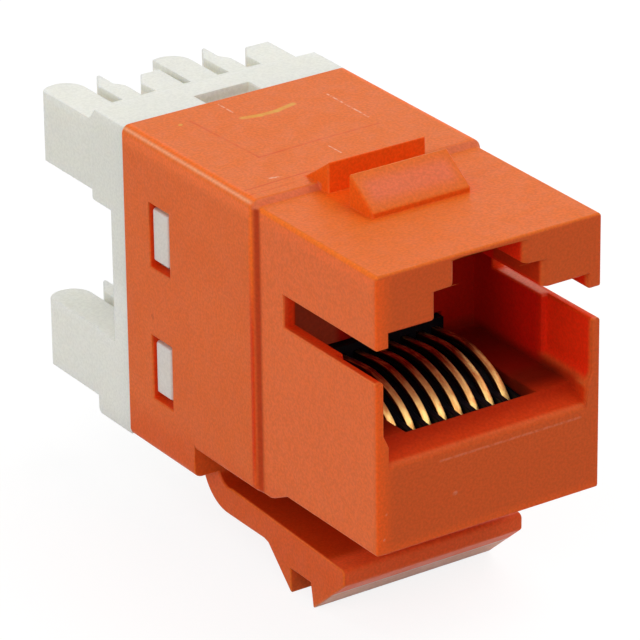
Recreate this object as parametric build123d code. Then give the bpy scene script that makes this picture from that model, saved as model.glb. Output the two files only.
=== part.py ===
"""Snap-in network jack: a moulded housing with its own latch arm, eight sprung plug contacts
on a comb carrier, a small circuit board, and a rear block with eight forked wire contacts.

Frame: X across the jack, Y from the plug face (Y = 0) to the wire end, Z up from the underside
of the front body (Z = 0). The jack is symmetrical about X = 0 apart from its wire block.
"""

import os
from math import sqrt

from build123d import *

# Driving dimensions, in millimetres

# Front body, the part that fills the panel opening
front_width = 14.5
front_height = 16.2
front_depth = 11.0
front_edge_radius = 0.25
face_edge_share = 0.15       # rounding around the plug face, as a share of the side wall
floor_length = 8.64          # level stretch of the underside
step_length = 1.66           # slope down to the rear body's underside
step_drop = 0.8

# Rear body, the shell around board and wire block
shoulder_length = 0.4
side_step = 0.25             # rear body wider than the front, each side
top_step = 0.3               # rear body higher than the front
rear_edge_radius = 0.5
shallow_end = 17.5           # the shell is deeper behind this
deep_drop = 1.65             # how much deeper
rear_end = 24.3
shell_wall = 0.75
partition_wall = 1.2         # between plug cavity and shell

# Hood over the plug, with the stepped keyway for the plug's own latch
hood_skin = 0.3
keyway_upper_width = 4.46
keyway_upper_height = 1.45
keyway_lower_width = 6.86
keyway_lower_height = 1.65
keyway_edge_radius = 0.4
cavity_height = 6.9
cavity_width = 12.9
cavity_depth = 10.5
slot_below_ceiling = 0.85    # side slot's upper edge under the cavity's ceiling
slot_height = 1.9
slot_length = 8.7
recess_width = 13.56         # thinner side walls near the front
recess_length = 4.2
recess_foot = 0.35           # the recess ends this much above the cavity's floor
recess_foot_slope = 0.7

# Sill under the plug
sill_drop = 0.65             # its front edge lies below the cavity's floor
sill_nose = 0.75             # height of the rounded nose
sill_nose_depth = 0.4
sill_depth = 1.7
tray_floor = 0.9             # housing floor under the contact carrier
tray_roof = 1.35             # passage for the contacts, above the cavity's floor

# Panel catches on top and the latch arm below
catch_width = 6.34
catch_height = 1.83
front_catch_front = 6.2
front_catch_rear = 8.41
front_catch_lip = 0.35
rear_catch_front = 10.35
rear_catch_rear = 12.6
arm_width = 11.9
arm_thickness = 1.7
arm_front = 5.13
arm_gap = 0.57               # between the shell's underside and the arm
arm_fall = 0.4               # the arm's upper face falls this much towards the front
arm_root = 19.2
tooth_tip = 7.0              # depth of the teeth under the front body's underside
front_tooth = 8.18
notch_width = 1.92
rear_tooth_foot = 12.6
tooth_bite = 1.5

# Windows for the wire block's snap tabs
window_front = 19.65
window_length = 2.0
window_height = 3.85
upper_window_below_top = 3.7
lower_window_above_underside = 3.35
tab_gap = 0.1                # to the window's front and rear edges
tab_height = 3.05
tab_raise = 0.08             # tab's middle above the window's
tab_ramp = 0.2
tab_sunk = 0.1               # tab face inside the housing's side face

# Wire block
block_clearance = 0.1
flange_inset = 0.12          # flange narrower than the shell, each side
flange_drop = 0.1            # flange top under the shell's top
flange_depth = 1.6
root_depth = 3.55            # thick root of each wing, from the flange's front face
root_slope_depth = 0.5       # the root's top slopes down over this depth
root_edge_radius = 0.35
wing_inset = 0.12            # wing narrower than the flange, each side
upper_wing_inset = 0.83
lower_wing_inset = 0.95
upper_root_foot = 0.5
wing_height = 4.3
pair_pitch = 7.1
pair_groove = 0.4            # narrow groove between the two pairs
pocket_width = 3.6
pocket_depth = 1.4
pocket_height = 3.1
block_core_width = 10.4
block_core_height = 6.8

# Wire slots in one pair of a wing, measured from the pair's left edge and the flange's front
round_pillar = 2.3
round_pillar_radius = 1.3
first_slot = 0.64
splitter = 1.35
splitter_tip = 0.2
splitter_shoulder = 0.42     # width of the step on the splitter's right side
second_slot = 0.84
slot_root = 5.1
flat_pillar_reach = 7.7
splitter_reach = 8.95
round_pillar_reach = 9.25
pillar_lead = 0.7

# Plug contacts and their carrier
contact_count = 8
contact_pitch = 1.04
contact_width = 0.45
contact_thick = 0.3
contact_crest_y = 7.3
contact_crest_rise = 0.95    # above the cavity's floor
contact_tip_y = 3.1
contact_tip_drop = 1.75      # below the cavity's floor
contact_tail_rise = 0.3
contact_tail_beyond = 0.6    # behind the board
carrier_side = 0.3
carrier_clearance = 0.08
carrier_flange_width = 11.0
carrier_flange_thick = 1.4
carrier_flange_rise = 3.1    # above the cavity's floor
carrier_flange_drop = 3.3    # below it
comb_rib = 0.4
comb_length = 2.3
bed_drop = 0.75              # carrier's bed under the contacts

# Circuit board
board_thick = 1.6
board_clearance = 0.17
hole_clearance = 0.1

# Forked wire contacts
fork_width = 1.7
fork_thick = 0.4
fork_gap = 0.32
fork_length = 4.6
fork_lead = 0.35
fork_short_of_slot = 1.1     # tines end this much before the wing's flat pillars
shank_width = 0.9
fork_inboard = 0.5           # fork plane towards the middle from the wing's centre
fork_clearance = 0.06

# Derived places

rear_width = front_width + 2 * side_step
face_edge_radius = face_edge_share * (front_width - cavity_width) / 2
rear_top = front_height + top_step
shoulder_end = front_depth + shoulder_length
shallow_bottom = -step_drop
deep_bottom = -step_drop - deep_drop
ceiling = front_height - hood_skin - keyway_upper_height - keyway_lower_height
cavity_floor = ceiling - cavity_height
slot_top = ceiling - slot_below_ceiling
slot_bottom = slot_top - slot_height
sill_front = cavity_floor - sill_drop

shell_front = cavity_depth + partition_wall
shell_half = rear_width / 2 - shell_wall
shell_roof = rear_top - shell_wall
shell_floor = shallow_bottom + shell_wall
deep_floor = deep_bottom + shell_wall

contact_row = (contact_count - 1) * contact_pitch
contact_places = [i * contact_pitch - contact_row / 2 for i in range(contact_count)]
carrier_half = contact_row / 2 + contact_width / 2 + carrier_side
tray_half = carrier_half + carrier_clearance
board_front = shell_front + carrier_flange_thick
board_rear = board_front + board_thick
block_front = board_rear + block_clearance / 2
board_hole_z = cavity_floor + contact_tail_rise

flange_top = rear_top - flange_drop
flange_bottom = deep_bottom
upper_wing_top = flange_top - upper_wing_inset
upper_wing_bottom = upper_wing_top - wing_height
lower_wing_bottom = flange_bottom + lower_wing_inset
lower_wing_top = lower_wing_bottom + wing_height
wing_middle = (upper_wing_bottom + lower_wing_top) / 2
flange_width = rear_width - 2 * flange_inset
wing_half = flange_width / 2 - wing_inset
pair_spans = [(-wing_half, pair_pitch - wing_half), (pair_pitch - wing_half, wing_half)]
fork_rows = {
    "upper": (upper_wing_top + upper_wing_bottom) / 2 - fork_inboard,
    "lower": (lower_wing_top + lower_wing_bottom) / 2 + fork_inboard,
}
slot_centres = [
    start + offset
    for start, end in pair_spans
    for offset in (
        round_pillar + first_slot / 2,
        round_pillar + first_slot + splitter + second_slot / 2,
    )
]
fork_end = rear_end + flat_pillar_reach - fork_short_of_slot
window_rows = [
    rear_top - upper_window_below_top - window_height / 2,
    deep_bottom + lower_window_above_underside + window_height / 2,
]


# Helpers

def block(x_low, x_high, y_low, y_high, z_low, z_high):
    """A box between the given limits."""
    size = (x_high - x_low, y_high - y_low, z_high - z_low)
    middle = ((x_high + x_low) / 2, (y_high + y_low) / 2, (z_high + z_low) / 2)
    return Pos(*middle) * Box(*size)


def centred(half, y_low, y_high, z_low, z_high):
    """A box that is symmetrical about X = 0."""
    return block(-half, half, y_low, y_high, z_low, z_high)


def across(outline, half):
    """A side-view outline (Y, Z) carried across the jack, symmetrical about X = 0."""
    return extrude(Plane.YZ * make_face(outline), amount=half, both=True)


def front_section(width, z_low, z_high, radius, y):
    """A rounded rectangle seen from the front, standing at the given depth."""
    plane = Plane(origin=(0, y, (z_low + z_high) / 2), x_dir=(1, 0, 0), z_dir=(0, -1, 0))
    return plane * RectangleRounded(width, z_high - z_low, radius)


def mirrored(shape):
    """The shape together with its mirror image at the other side."""
    return [shape, mirror(shape, Plane.YZ)]


# Housing

def housing_outside():
    """Front body, sloped shoulder and the two depths of the rear body."""
    front = front_section(front_width, shallow_bottom, front_height, front_edge_radius, 0)
    at_shoulder = front_section(
        front_width, shallow_bottom, front_height, front_edge_radius, front_depth)
    rear = front_section(rear_width, shallow_bottom, rear_top, rear_edge_radius, shoulder_end)
    deep = front_section(rear_width, deep_bottom, rear_top, rear_edge_radius, shallow_end)
    body = extrude(front, amount=-front_depth)
    body += loft([at_shoulder, rear])
    body += extrude(rear, amount=-(rear_end - shoulder_end))
    body += extrude(deep, amount=-(rear_end - shallow_end))
    under_front = Polyline(
        (-1, shallow_bottom - 1),
        (-1, 0),
        (floor_length, 0),
        (floor_length + step_length, shallow_bottom),
        (floor_length + step_length, shallow_bottom - 1),
        close=True,
    )
    return body - across(under_front, front_width)


def plug_cavity():
    """Everything cut away for the plug: cavity, keyway, side slots, front recess and sill."""
    cut = centred(cavity_width / 2, -1, cavity_depth, cavity_floor, ceiling)
    keyway_step = ceiling + keyway_lower_height
    cut += centred(keyway_lower_width / 2, -1, cavity_depth, ceiling - 1, keyway_step)
    cut += centred(
        keyway_upper_width / 2, -1, cavity_depth, ceiling, keyway_step + keyway_upper_height)
    cut += centred(front_width, -1, slot_length, slot_bottom, slot_top)

    foot = cavity_floor + recess_foot
    recess = Polyline(
        (-cavity_width / 2, foot),
        (-recess_width / 2, foot + recess_foot_slope),
        (-recess_width / 2, slot_bottom + slot_height / 2),
        (recess_width / 2, slot_bottom + slot_height / 2),
        (recess_width / 2, foot + recess_foot_slope),
        (cavity_width / 2, foot),
        close=True,
    )
    front_view = Plane(origin=(0, -1, 0), x_dir=(1, 0, 0), z_dir=(0, -1, 0))
    cut += extrude(front_view * make_face(recess), amount=-(recess_length + 1))

    nose_low = sill_front - sill_nose
    over_sill = [
        Line((-1, nose_low), (0, nose_low)),
        SagittaArc((0, nose_low), (sill_nose_depth, sill_front), sill_nose_depth * 0.45),
        Line((sill_nose_depth, sill_front), (sill_depth, cavity_floor)),
        Line((sill_depth, cavity_floor), (sill_depth, cavity_floor + 0.5)),
        Line((sill_depth, cavity_floor + 0.5), (-1, cavity_floor + 0.5)),
        Line((-1, cavity_floor + 0.5), (-1, nose_low)),
    ]
    cut += across(Wire(over_sill), cavity_width / 2)
    cut += centred(
        tray_half, sill_depth, shell_front + 1, tray_floor, cavity_floor + tray_roof)
    return cut


def shell_space():
    """The hollow of the rear body, deeper behind its step."""
    deep_start = shallow_end + shell_wall
    space = centred(shell_half, shell_front, rear_end + 1, shell_floor, shell_roof)
    space += centred(shell_half, deep_start, rear_end + 1, deep_floor, shell_roof)
    return space


def windows():
    """Four windows in the side walls for the snap tabs."""
    cut = []
    for middle in window_rows:
        cut.append(centred(
            rear_width, window_front, window_front + window_length,
            middle - window_height / 2, middle + window_height / 2))
    return cut


def catches():
    """Two catches on the top face: the panel's edge drops between them."""
    top = front_height + catch_height
    sunk = front_height - hood_skin / 2
    front = Polyline(
        (front_catch_front, sunk),
        (front_catch_front, front_height + front_catch_lip),
        (front_catch_rear, top),
        (front_catch_rear, sunk),
        close=True,
    )
    rear = Polyline(
        (rear_catch_front, sunk),
        (rear_catch_front, top),
        (rear_catch_rear, rear_top),
        (rear_catch_rear, sunk),
        close=True,
    )
    return [across(front, catch_width / 2), across(rear, catch_width / 2)]


def latch_arm():
    """The flexing arm below: it hangs from the shell and carries two saw teeth."""
    top_rear = deep_bottom - arm_gap
    top_front = top_rear - arm_fall
    under = top_rear - arm_thickness
    nose_low = top_front - arm_thickness * 0.55
    rear_tooth = front_tooth + notch_width + 0.25
    ceiling_of_notch = -tooth_tip + tooth_bite
    root_front = shallow_end
    outline = [
        Line((root_front, deep_bottom + 0.3), (root_front, deep_bottom)),
        ThreePointArc(
            (root_front, deep_bottom),
            (root_front - 0.4, top_rear + 0.12),
            (root_front - 1.3, top_rear)),
        Line((root_front - 1.3, top_rear), (arm_front + 0.3, top_front)),
        ThreePointArc(
            (arm_front + 0.3, top_front),
            (arm_front + 0.08, top_front - 0.09),
            (arm_front, top_front - 0.3)),
        Line((arm_front, top_front - 0.3), (arm_front, nose_low)),
        Line((arm_front, nose_low), (front_tooth, -tooth_tip)),
        Line((front_tooth, -tooth_tip), (front_tooth + 0.25, ceiling_of_notch)),
        Line((front_tooth + 0.25, ceiling_of_notch), (rear_tooth, ceiling_of_notch)),
        Line((rear_tooth, ceiling_of_notch), (rear_tooth, -tooth_tip)),
        Line((rear_tooth, -tooth_tip), (rear_tooth_foot, under - 0.1)),
        Line((rear_tooth_foot, under - 0.1), (rear_tooth_foot + 0.4, under)),
        Line((rear_tooth_foot + 0.4, under), (root_front - 0.9, under)),
        ThreePointArc(
            (root_front - 0.9, under),
            (arm_root - 0.75, under + 0.72),
            (arm_root, deep_bottom)),
        Line((arm_root, deep_bottom), (arm_root, deep_bottom + 0.3)),
        Line((arm_root, deep_bottom + 0.3), (root_front, deep_bottom + 0.3)),
    ]
    return across(Wire(outline), arm_width / 2)


def make_housing():
    """The orange moulding, in one piece with catches and latch arm."""
    body = housing_outside()
    for piece in catches():
        body += piece
    body += latch_arm()
    body -= plug_cavity()
    body -= shell_space()
    for piece in windows():
        body -= piece
    keyway_edges = [
        edge for edge in body.edges().filter_by(Axis.Z)
        if abs(edge.center().Y) < 0.01
        and edge.center().Z > ceiling
        and abs(edge.center().X) < keyway_lower_width / 2 + 0.1
    ]
    body = fillet(keyway_edges, keyway_edge_radius)
    face_edges = [
        edge for edge in body.edges()
        if edge.bounding_box().max.Y < 0.01
        and (
            abs(edge.center().X) > front_width / 2 - front_edge_radius
            or edge.center().Z > front_height - front_edge_radius
            or edge.center().Z < front_edge_radius
        )
    ]
    return fillet(face_edges, face_edge_radius)


# Wire block

def pair_outline(start, end):
    """Plan outline of one pair: round pillar, slot, splitter, slot, flat pillar."""
    root = rear_end + root_depth
    floor = rear_end + slot_root
    round_end = rear_end + round_pillar_reach
    flat_end = rear_end + flat_pillar_reach
    tip = rear_end + splitter_reach
    a = start + round_pillar
    b = a + first_slot
    c = b + splitter
    d = c + second_slot
    round_x = a - round_pillar_radius
    round_y = round_end - round_pillar_radius
    shoulder = round_y + sqrt(round_pillar_radius ** 2 - (round_x - start) ** 2)
    blade = c - splitter_shoulder
    lines = [
        Line((start, root - 1), (start, shoulder)),
        ThreePointArc((start, shoulder), (round_x, round_end), (a, round_y)),
        Line((a, round_y), (a, floor)),
        Line((a, floor), (b, floor)),
        Line((b, floor), (b, tip - 1.3)),
        Line((b, tip - 1.3), (blade - splitter_tip, tip)),
        Line((blade - splitter_tip, tip), (blade, tip)),
        Line((blade, tip), (blade, tip - 1.5)),
        Line((blade, tip - 1.5), (c, tip - 2.1)),
        Line((c, tip - 2.1), (c, floor)),
        Line((c, floor), (d, floor)),
        Line((d, floor), (d, flat_end - 1.15)),
        Line((d, flat_end - 1.15), (d + pillar_lead, flat_end)),
        Line((d + pillar_lead, flat_end), (end, flat_end)),
        Line((end, flat_end), (end, root - 1)),
        Line((end, root - 1), (start, root - 1)),
    ]
    return lines


def wing(z_low, z_high):
    """One row of four wire slots, with a narrow groove between its two pairs."""
    plane = Plane.XY.offset(z_low)
    groove = pair_spans[1][0]
    solid = None
    for start, end in pair_spans:
        pair = extrude(plane * make_face(Wire(pair_outline(start, end))), amount=z_high - z_low)
        solid = pair if solid is None else solid + pair
    return solid - block(
        groove, groove + pair_groove,
        rear_end + slot_root, rear_end + round_pillar_reach + 1, z_low - 1, z_high + 1)


def upper_root():
    """Thick root of the upper wing: flush with the flange, sloped down to the wing's top."""
    back = rear_end + root_depth
    low = upper_wing_bottom - upper_root_foot
    radius = root_edge_radius * 0.6
    outline = [
        Line((rear_end, flange_top), (back - root_slope_depth, flange_top)),
        Line((back - root_slope_depth, flange_top), (back + 0.15, upper_wing_top)),
        Line((back + 0.15, upper_wing_top), (back, upper_wing_top - 1)),
        Line((back, upper_wing_top - 1), (back, low + radius)),
        RadiusArc((back, low + radius), (back - radius, low), radius),
        Line((back - radius, low), (rear_end, low)),
        Line((rear_end, low), (rear_end, flange_top)),
    ]
    return across(Wire(outline), flange_width / 2)


def lower_root():
    """Thick root of the lower wing: level with its top, and down to the flange's underside."""
    back = rear_end + root_depth
    radius = root_edge_radius
    outline = [
        Line((rear_end, lower_wing_top), (back, lower_wing_top)),
        Line((back, lower_wing_top), (back, flange_bottom + radius)),
        RadiusArc((back, flange_bottom + radius), (back - radius, flange_bottom), radius),
        Line((back - radius, flange_bottom), (rear_end, flange_bottom)),
        Line((rear_end, flange_bottom), (rear_end, lower_wing_top)),
    ]
    return across(Wire(outline), flange_width / 2)


def snap_tabs():
    """Four tabs that spring into the housing's windows, ramped towards the front."""
    skirt = shell_half - block_clearance
    face = rear_width / 2 - tab_sunk
    front = window_front + tab_gap
    rear = window_front + window_length - tab_gap
    plan = Polyline(
        (-skirt + 0.3, front),
        (-skirt, front),
        (-face, front + tab_ramp),
        (-face, rear - 0.2),
        (-face + 0.2, rear),
        (-skirt + 0.3, rear),
        close=True,
    )
    tabs = []
    for middle in window_rows:
        plane = Plane.XY.offset(middle + tab_raise - tab_height / 2)
        tabs += mirrored(extrude(plane * make_face(plan), amount=tab_height))
    return tabs


def fork_passages():
    """Slits that hold the forked contacts, open towards the board."""
    half = fork_width / 2 + fork_clearance
    cut = []
    for level in fork_rows.values():
        for x in slot_centres:
            cut.append(block(
                x - half, x + half, block_front - 1, fork_end + fork_clearance,
                level - fork_thick / 2 - fork_clearance, level + fork_thick / 2 + fork_clearance))
    return cut


def make_termination_block():
    """The off-white block: skirt inside the shell, flange, and two wings for the wires."""
    skirt_half = shell_half - block_clearance
    solid = centred(
        skirt_half, block_front, rear_end + 0.5,
        shell_floor + block_clearance, shell_roof - block_clearance)
    solid += centred(
        skirt_half, shallow_end + shell_wall + block_clearance, rear_end + 0.5,
        deep_floor + block_clearance, shell_roof - block_clearance)
    flange = front_section(flange_width, flange_bottom, flange_top, 0.2, rear_end)
    solid += extrude(flange, amount=-flange_depth)
    solid += upper_root()
    solid += lower_root()
    solid += wing(upper_wing_bottom, upper_wing_top)
    solid += wing(lower_wing_bottom, lower_wing_top)
    for tab in snap_tabs():
        solid += tab
    solid -= centred(
        block_core_width / 2, block_front - 1, rear_end,
        wing_middle - block_core_height / 2, wing_middle + block_core_height / 2)
    solid -= centred(
        pocket_width / 2, rear_end - 1, rear_end + pocket_depth,
        flange_top - pocket_height, flange_top + 1)
    for slit in fork_passages():
        solid -= slit
    return solid


# Plug contacts and carrier

def contact_path():
    """Centre line of a plug contact in the side view, from its free tip to its tail."""
    crest = cavity_floor + contact_crest_rise - contact_thick / 2
    tail = board_hole_z
    tip = cavity_floor - contact_tip_drop
    return [
        Spline(
            (contact_tip_y, tip),
            (contact_tip_y + 1.45, cavity_floor - 0.15),
            (contact_tip_y + 2.7, crest - 0.33),
            (contact_crest_y, crest),
            (contact_crest_y + 2.7, crest - 0.2),
            tangents=[(0.55, 0.83), (1, -0.08)],
        ),
        Spline(
            (contact_crest_y + 2.7, crest - 0.2),
            (board_front - 0.6, tail),
            tangents=[(1, -0.08), (1, 0)],
        ),
        Line((board_front - 0.6, tail), (board_rear + contact_tail_beyond, tail)),
    ]


def make_spring_contact(x):
    """One sprung contact at its place across the jack."""
    strip = trace(Wire(contact_path()), contact_thick)
    blade = extrude(Plane.YZ * strip, amount=contact_width / 2, both=True)
    return Pos(x, 0, 0) * blade


def make_contact_carrier():
    """The black carrier: a comb at the front, a curved bed, and a flange before the board."""
    bottom = tray_floor
    front = sill_depth + carrier_clearance
    crest = cavity_floor + contact_crest_rise - contact_thick
    bed = crest - bed_drop
    back_top = cavity_floor + tray_roof - carrier_clearance
    back = cavity_depth - 0.4
    tongue = [
        Line((front, bottom), (front, cavity_floor - 0.75)),
        Line((front, cavity_floor - 0.75), (front + 0.5, cavity_floor - 0.75)),
        Line((front + 0.5, cavity_floor - 0.75), (contact_tip_y + 0.3, cavity_floor - 2.6)),
        Spline(
            (contact_tip_y + 0.3, cavity_floor - 2.6),
            (contact_tip_y + 1.6, cavity_floor - 1.0),
            (contact_crest_y, bed),
            tangents=[(0.5, 0.85), (1, 0.05)],
        ),
        Line((contact_crest_y, bed), (back, bed)),
        Line((back, bed), (back, back_top)),
        Line((back, back_top), (board_front - 0.02, back_top)),
        Line((board_front - 0.02, back_top), (board_front - 0.02, bottom)),
        Line((board_front - 0.02, bottom), (front, bottom)),
    ]
    solid = across(Wire(tongue), carrier_half)

    flange_low = cavity_floor - carrier_flange_drop
    solid += centred(
        carrier_flange_width / 2, shell_front + 0.02, board_front - 0.02,
        flange_low, cavity_floor + carrier_flange_rise)

    rib_top = Polyline(
        (front, bottom + 0.5),
        (front, cavity_floor - 0.45),
        (front + comb_length * 0.45, cavity_floor - 0.75),
        (front + comb_length, cavity_floor - 0.6),
        (contact_crest_y, bed + 0.25),
        (back, bed + 0.25),
        (back, bottom + 0.5),
        close=True,
    )
    rib = extrude(Plane.YZ * make_face(rib_top), amount=comb_rib / 2, both=True)
    limits = centred(carrier_half, -1, rear_end, deep_bottom, rear_top)
    for x in [-contact_pitch * contact_count / 2] + contact_places:
        solid += (Pos(x + contact_pitch / 2, 0, 0) * rib) & limits

    path = trace(Wire(contact_path()), contact_thick + hole_clearance)
    groove = extrude(Plane.YZ * path, amount=(contact_width + hole_clearance) / 2, both=True)
    for x in contact_places:
        solid -= Pos(x, 0, 0) * groove
    return solid


# Circuit board

def make_circuit_board():
    """The board between the carrier and the wire block, with a hole for every contact."""
    half = shell_half - board_clearance
    board = centred(
        half, board_front, board_rear, shell_floor + board_clearance, shell_roof - board_clearance)
    for x in contact_places:
        side = contact_width / 2 + hole_clearance / 2
        tall = contact_thick / 2 + hole_clearance / 2
        board -= block(
            x - side, x + side, board_front - 1, board_rear + 1,
            board_hole_z - tall, board_hole_z + tall)
    for level in fork_rows.values():
        for x in slot_centres:
            side = shank_width / 2 + hole_clearance / 2
            tall = fork_thick / 2 + hole_clearance / 2
            board -= block(
                x - side, x + side, board_front - 1, board_rear + 1, level - tall, level + tall)
    return board


# Forked wire contacts

def fork_plan():
    """Plan outline of a forked contact, from its tail in the board to its two tines."""
    tine = fork_end - fork_length
    half = fork_width / 2
    gap = fork_gap / 2
    neck = shank_width / 2
    right = [
        (neck, board_front),
        (neck, tine - 1.4),
        (half, tine - 0.8),
        (half, fork_end - 0.5),
        (half - 0.25, fork_end),
        (gap + fork_lead, fork_end),
        (gap, fork_end - 0.8),
        (gap, tine),
    ]
    left = [(-x, y) for x, y in reversed(right)]
    return Polyline(*right, *left, close=True)


def make_fork(x, level):
    """One forked contact, its plate level and its mouth towards the wire end."""
    plate = extrude(make_face(fork_plan()), amount=fork_thick / 2, both=True)
    return Pos(x, 0, level) * plate


# Build

os.makedirs("parts", exist_ok=True)
export_step(make_housing(), "parts/housing.step")
export_step(make_termination_block(), "parts/termination_block.step")
export_step(make_contact_carrier(), "parts/contact_carrier.step")
export_step(make_circuit_board(), "parts/circuit_board.step")
for number, place in enumerate(contact_places, start=1):
    export_step(make_spring_contact(place), f"parts/spring_contact_{number}.step")
for row, level in fork_rows.items():
    for number, place in enumerate(slot_centres, start=1):
        export_step(make_fork(place, level), f"parts/wire_fork_{row}_{number}.step")
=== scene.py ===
"""Looks, light and camera for the snap-in network jack.

The mouldings are copies of the solids with eased edges. The plug contacts and the wire forks
are one plan each, repeated by Geometry Nodes. Every finish is a node tree in object
coordinates; the mouldings also carry painted light and shade in their colour, in soft boxes
and as painted highlights along their eased edges. All sizes are in millimetres, turned into
metres by MM.
"""

import logging
import math
from dataclasses import dataclass
from enum import Enum

import bmesh
import bpy
import numpy as np
from mathutils import Matrix, Vector


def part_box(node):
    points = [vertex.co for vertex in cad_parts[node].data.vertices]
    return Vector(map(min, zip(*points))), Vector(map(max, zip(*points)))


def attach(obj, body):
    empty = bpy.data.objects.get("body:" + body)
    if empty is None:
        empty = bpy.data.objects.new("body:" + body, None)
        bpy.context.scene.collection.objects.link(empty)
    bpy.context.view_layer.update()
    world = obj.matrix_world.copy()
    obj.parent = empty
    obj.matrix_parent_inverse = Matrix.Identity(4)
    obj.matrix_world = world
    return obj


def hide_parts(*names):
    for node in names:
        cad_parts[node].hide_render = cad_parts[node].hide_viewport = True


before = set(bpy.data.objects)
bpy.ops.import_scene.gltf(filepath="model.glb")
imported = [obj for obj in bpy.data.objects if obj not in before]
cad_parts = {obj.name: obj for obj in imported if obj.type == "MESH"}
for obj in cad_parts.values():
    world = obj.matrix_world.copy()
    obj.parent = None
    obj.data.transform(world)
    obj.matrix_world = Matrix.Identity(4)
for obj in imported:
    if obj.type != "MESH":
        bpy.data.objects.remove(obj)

MM = 0.001
BODY = "root"
WELD = 2e-6                         # metres within which two corners of a solid are one
FLAT_ANGLE = math.radians(0.6)      # faces that turn less than this are one face
SHARP_ANGLE = math.radians(20)      # edges that turn more than this are shaded sharp
LOG = logging.getLogger("jack")
Colour = tuple[float, float, float]
Place = tuple[float, float, float]


# Node tree helpers

class ShaderGraph:
    """Builds one material's node tree with short calls."""

    def __init__(self, name: str) -> None:
        """Make an empty material of the given name."""
        self.material = bpy.data.materials.new(name)
        self.material.use_nodes = True
        self.tree = self.material.node_tree
        self.tree.nodes.clear()
        self.output = self.tree.nodes.new("ShaderNodeOutputMaterial")
        self.place = self.tree.nodes.new("ShaderNodeTexCoord").outputs["Object"]

    def put(self, socket: bpy.types.NodeSocket, value: object) -> None:
        """Link a socket to another socket, or set its value.

        Args:
            socket: the input to fill.
            value: an output socket, a number, or a sequence of numbers.
        """
        if isinstance(value, bpy.types.NodeSocket):
            self.tree.links.new(value, socket)
        elif value is not None:
            socket.default_value = value

    def add(self, kind: str, settings: dict[str, object] | None = None,
            inputs: dict[object, object] | None = None) -> bpy.types.Node:
        """Add a node.

        Args:
            kind: the node's type name.
            settings: attributes of the node.
            inputs: values or links for its inputs, by name or number.

        Returns:
            The new node.
        """
        node = self.tree.nodes.new(kind)
        for key, value in (settings or {}).items():
            setattr(node, key, value)
        for key, value in (inputs or {}).items():
            self.put(node.inputs[key], value)
        return node

    def math(self, operation: str, a: object, b: object = None,
             c: object = None, clamp: bool = False) -> bpy.types.NodeSocket:
        """Add a math node and return its result."""
        node = self.add("ShaderNodeMath", {"operation": operation, "use_clamp": clamp})
        for socket, value in zip(node.inputs, (a, b, c)):
            self.put(socket, value)
        return node.outputs[0]

    def vector(self, operation: str, a: object, b: object = None,
               scale: object = None) -> bpy.types.Node:
        """Add a vector math node and return it."""
        node = self.add("ShaderNodeVectorMath", {"operation": operation}, {0: a})
        if b is not None:
            self.put(node.inputs[1], b)
        if scale is not None:
            self.put(node.inputs["Scale"], scale)
        return node

    def noise(self, size_mm: float, detail: float = 2.0, stretch: Place = (1, 1, 1),
              roughness: float = 0.5) -> bpy.types.NodeSocket:
        """Noise whose features have a real size.

        Args:
            size_mm: feature size in millimetres.
            detail: octaves.
            stretch: how far features are drawn out along X, Y and Z.
            roughness: weight of the finer octaves.

        Returns:
            The noise value, about 0.5 in the mean.
        """
        where = self.place
        if stretch != (1, 1, 1):
            scale = tuple(1 / s for s in stretch)
            where = self.add("ShaderNodeMapping", inputs={"Vector": where, "Scale": scale})
            where = where.outputs[0]
        node = self.add(
            "ShaderNodeTexNoise",
            inputs={"Vector": where, "Scale": 1 / (size_mm * MM), "Detail": detail,
                    "Roughness": roughness})
        return node.outputs["Fac"]

    def ramp(self, value: object, low: float, high: float, to_low: float = 0.0,
             to_high: float = 1.0) -> bpy.types.NodeSocket:
        """Map a value from one range to another, clamped and smooth."""
        node = self.add(
            "ShaderNodeMapRange", {"interpolation_type": "SMOOTHSTEP"},
            {"Value": value, "From Min": low, "From Max": high, "To Min": to_low,
             "To Max": to_high})
        return node.outputs[0]

    def ramp_each(self, value: bpy.types.NodeSocket, low: Vector, high: Vector,
                  to_low: float, to_high: float) -> bpy.types.NodeSocket:
        """Map each axis of a vector from its own range to one range, clamped and smooth.

        The inputs go by number, because both forms of the node use the same names.

        Args:
            value: the vector.
            low: where each axis starts.
            high: where each axis ends.
            to_low: the result at the start.
            to_high: the result at the end.

        Returns:
            The mapped vector.
        """
        node = self.add(
            "ShaderNodeMapRange",
            {"data_type": "FLOAT_VECTOR", "interpolation_type": "SMOOTHSTEP"},
            {6: value, 7: low, 8: high, 9: (to_low,) * 3, 10: (to_high,) * 3})
        return node.outputs[1]

    def folded(self) -> bpy.types.NodeSocket:
        """Return the place with both sides of X = 0 laid on each other."""
        x, y, z = self.add("ShaderNodeSeparateXYZ", inputs={0: self.place}).outputs
        node = self.add(
            "ShaderNodeCombineXYZ", inputs={"X": self.math("ABSOLUTE", x), "Y": y, "Z": z})
        return node.outputs[0]

    def mix(self, factor: object, a: object, b: object) -> bpy.types.NodeSocket:
        """Mix two colours and return the result."""
        node = self.add("ShaderNodeMix", {"data_type": "RGBA"})
        self.put(node.inputs["Factor"], factor)
        self.put(node.inputs["A"], (*a, 1.0) if isinstance(a, tuple) else a)
        self.put(node.inputs["B"], (*b, 1.0) if isinstance(b, tuple) else b)
        return node.outputs["Result"]

    def bump(self, height: object, depth_mm: float,
             normal: object = None) -> bpy.types.NodeSocket:
        """Turn a height of 0 to 1 into a normal.

        Args:
            height: the height socket.
            depth_mm: real height of the relief in millimetres.
            normal: a normal to build on.

        Returns:
            The normal socket.
        """
        node = self.add(
            "ShaderNodeBump",
            inputs={"Height": height, "Strength": 1.0, "Distance": depth_mm * MM})
        if normal is not None:
            self.put(node.inputs["Normal"], normal)
        return node.outputs[0]

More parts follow.
